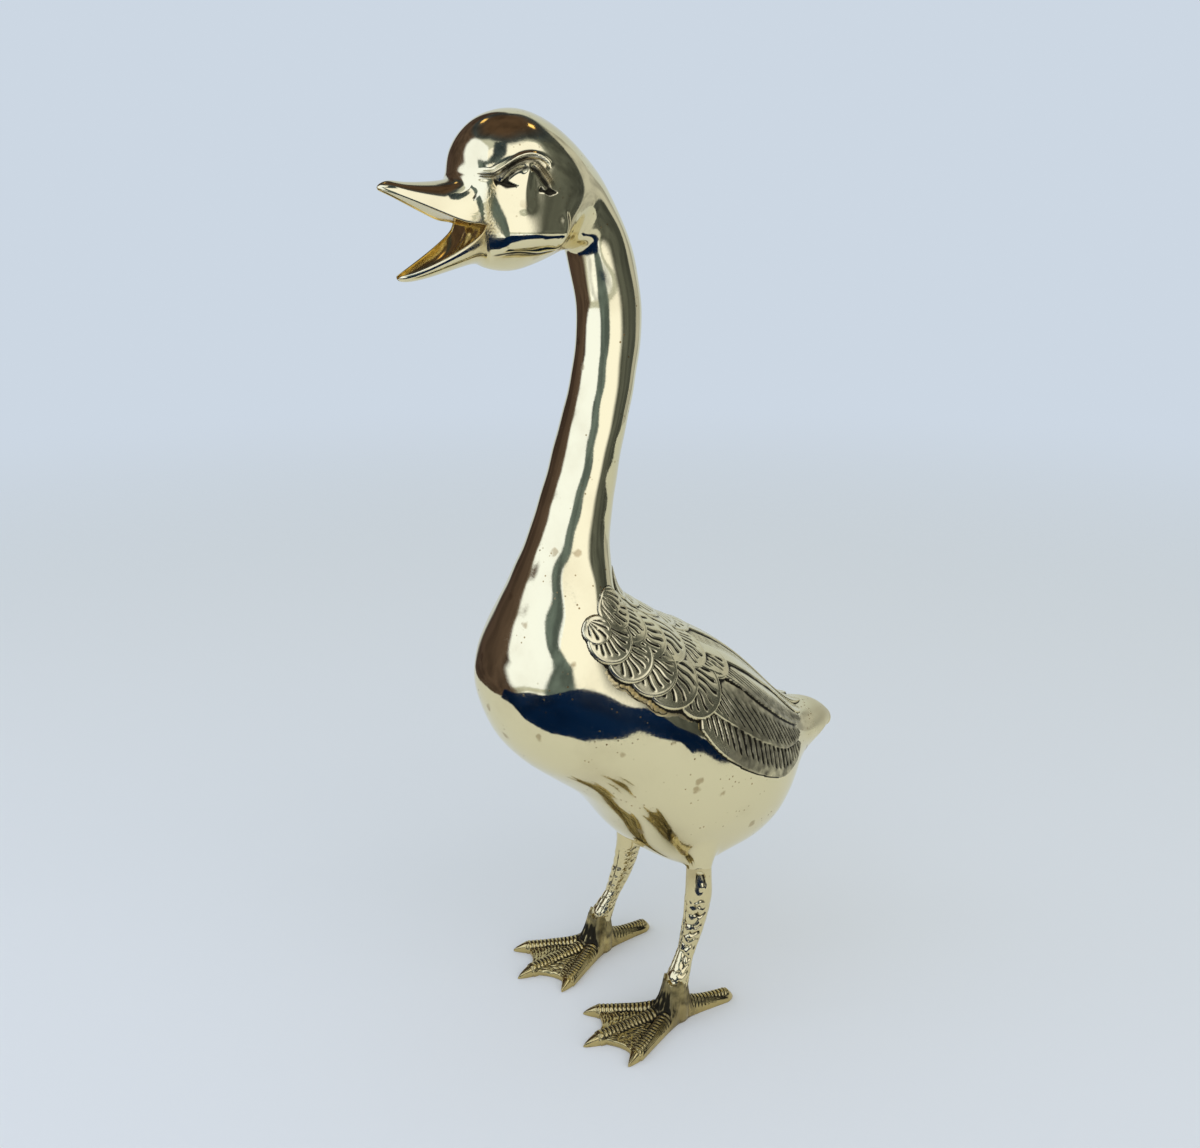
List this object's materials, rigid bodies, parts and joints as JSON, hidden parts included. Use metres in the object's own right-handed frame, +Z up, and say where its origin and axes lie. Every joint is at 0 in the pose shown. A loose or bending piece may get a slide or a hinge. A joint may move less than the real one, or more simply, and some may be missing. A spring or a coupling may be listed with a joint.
{
  "type": "goose figurine",
  "caption": "Standing goose ornament in polished brass with raised neck, open bill, feathered wings and webbed feet, brazed from hollow castings.",
  "frame": {"origin": "on the ground under the middle of the bounding box, between the feet", "axes": "+Z up, the goose faces -Y, its left side is +X"},
  "size_m": [0.1514, 0.3222, 0.56],
  "materials": {
    "polished_brass": "mirror polished pale brass with small tarnish spots",
    "chased_brass": "chased relief with dark patina in the recesses",
    "antique_brass": "antique satin with dark recesses",
    "raw_brass": "as cast, unpolished"
  },
  "bodies": {
    "root": {"body_left_shell": "polished_brass", "body_right_shell": "polished_brass", "left_wing": "chased_brass", "right_wing": "chased_brass", "neck_left_shell": "polished_brass", "neck_right_shell": "polished_brass", "neck_root_sleeve": "raw_brass", "head_left_shell": "polished_brass", "head_right_shell": "polished_brass", "nape_sleeve": "raw_brass", "upper_bill": "polished_brass", "lower_bill": "polished_brass", "left_leg": "chased_brass", "right_leg": "chased_brass", "left_hip_pin": "raw_brass", "right_hip_pin": "raw_brass", "left_foot": "antique_brass", "right_foot": "antique_brass"}
  },
  "joints": []
}
